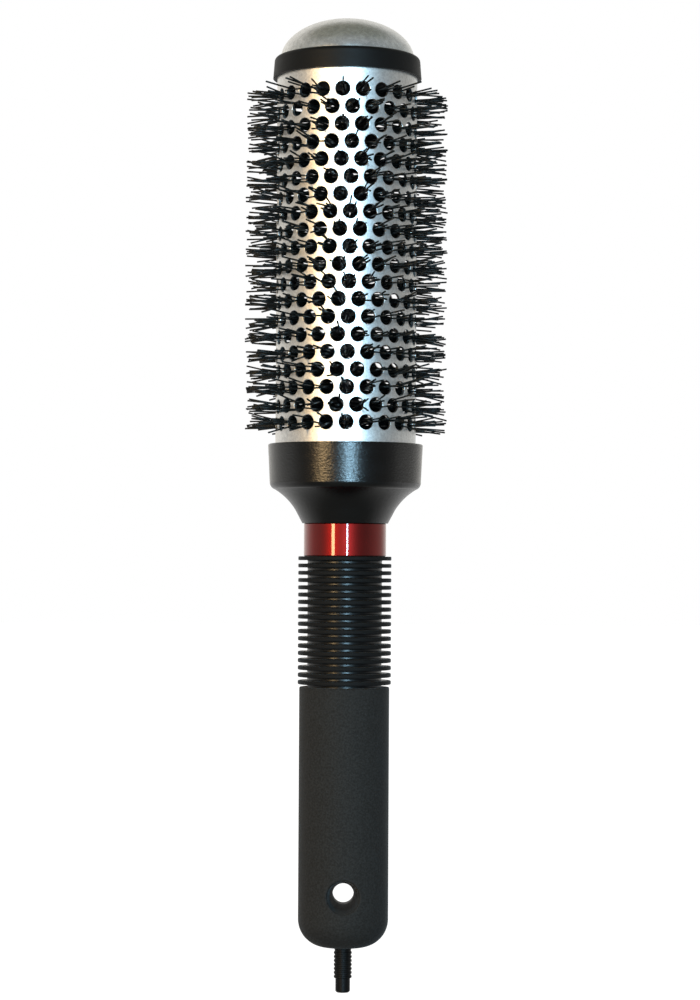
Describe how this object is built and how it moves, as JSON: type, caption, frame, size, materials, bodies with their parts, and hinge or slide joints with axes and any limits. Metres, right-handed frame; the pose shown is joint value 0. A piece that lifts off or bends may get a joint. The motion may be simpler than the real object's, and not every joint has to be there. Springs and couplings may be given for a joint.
{
  "type": "round barrel hair brush",
  "caption": "Round hair brush with a vented aluminium barrel, radial nylon bristle tufts, flared collar, two-part rubber grip, hanging hole and a pull-out pick in the handle's end.",
  "frame": {"origin": "the pick's lower end, on the brush's axis", "axes": "+Z along the brush's axis from the handle's end to the barrel's tip; the hanging hole runs along Y and the front faces -Y"},
  "size_m": [0.0546, 0.0546, 0.2632],
  "materials": {
    "dome_paint": "satin silver-grey paint",
    "black_plastic": "satin black",
    "ring_plastic": "matte black",
    "barrel_aluminium": "brushed satin",
    "stem_steel": "bright drawn wire",
    "core_plastic": "matte black, moulded",
    "red_anodised": "glossy red anodised",
    "ribbed_rubber": "semi-gloss black rubber",
    "grip_rubber": "matte charcoal rubber, fine grain",
    "pick_plastic": "satin black",
    "bristle_nylon": "black nylon"
  },
  "bodies": {
    "brush": {"tip_dome": "dome_paint", "tip_ring": "ring_plastic", "tip_plug": "core_plastic", "barrel_tube": "barrel_aluminium", "stem_wire_1": "stem_steel", "stem_wire_2": "stem_steel", "barrel_hub": "core_plastic", "collar": "black_plastic", "accent_ring": "red_anodised", "handle_core": "core_plastic", "ribbed_grip": "ribbed_rubber", "smooth_grip": "grip_rubber", "bristle_row_01": "bristle_nylon", "bristle_row_02": "bristle_nylon", "bristle_row_03": "bristle_nylon", "bristle_row_04": "bristle_nylon", "bristle_row_05": "bristle_nylon", "bristle_row_06": "bristle_nylon", "bristle_row_07": "bristle_nylon", "bristle_row_08": "bristle_nylon", "bristle_row_09": "bristle_nylon", "bristle_row_10": "bristle_nylon", "bristle_row_11": "bristle_nylon", "bristle_row_12": "bristle_nylon", "bristle_row_13": "bristle_nylon", "bristle_row_14": "bristle_nylon", "bristle_row_15": "bristle_nylon", "bristle_row_16": "bristle_nylon", "bristle_row_17": "bristle_nylon", "bristle_row_18": "bristle_nylon", "bristle_row_19": "bristle_nylon", "bristle_row_20": "bristle_nylon"},
    "pick": {"sectioning_pick": "pick_plastic"}
  },
  "joints": [
    {"name": "pick_pull", "type": "slide", "parent": "brush", "child": "pick", "axis": [0, 0, -1], "range_m": [0, 0.012]}
  ]
}
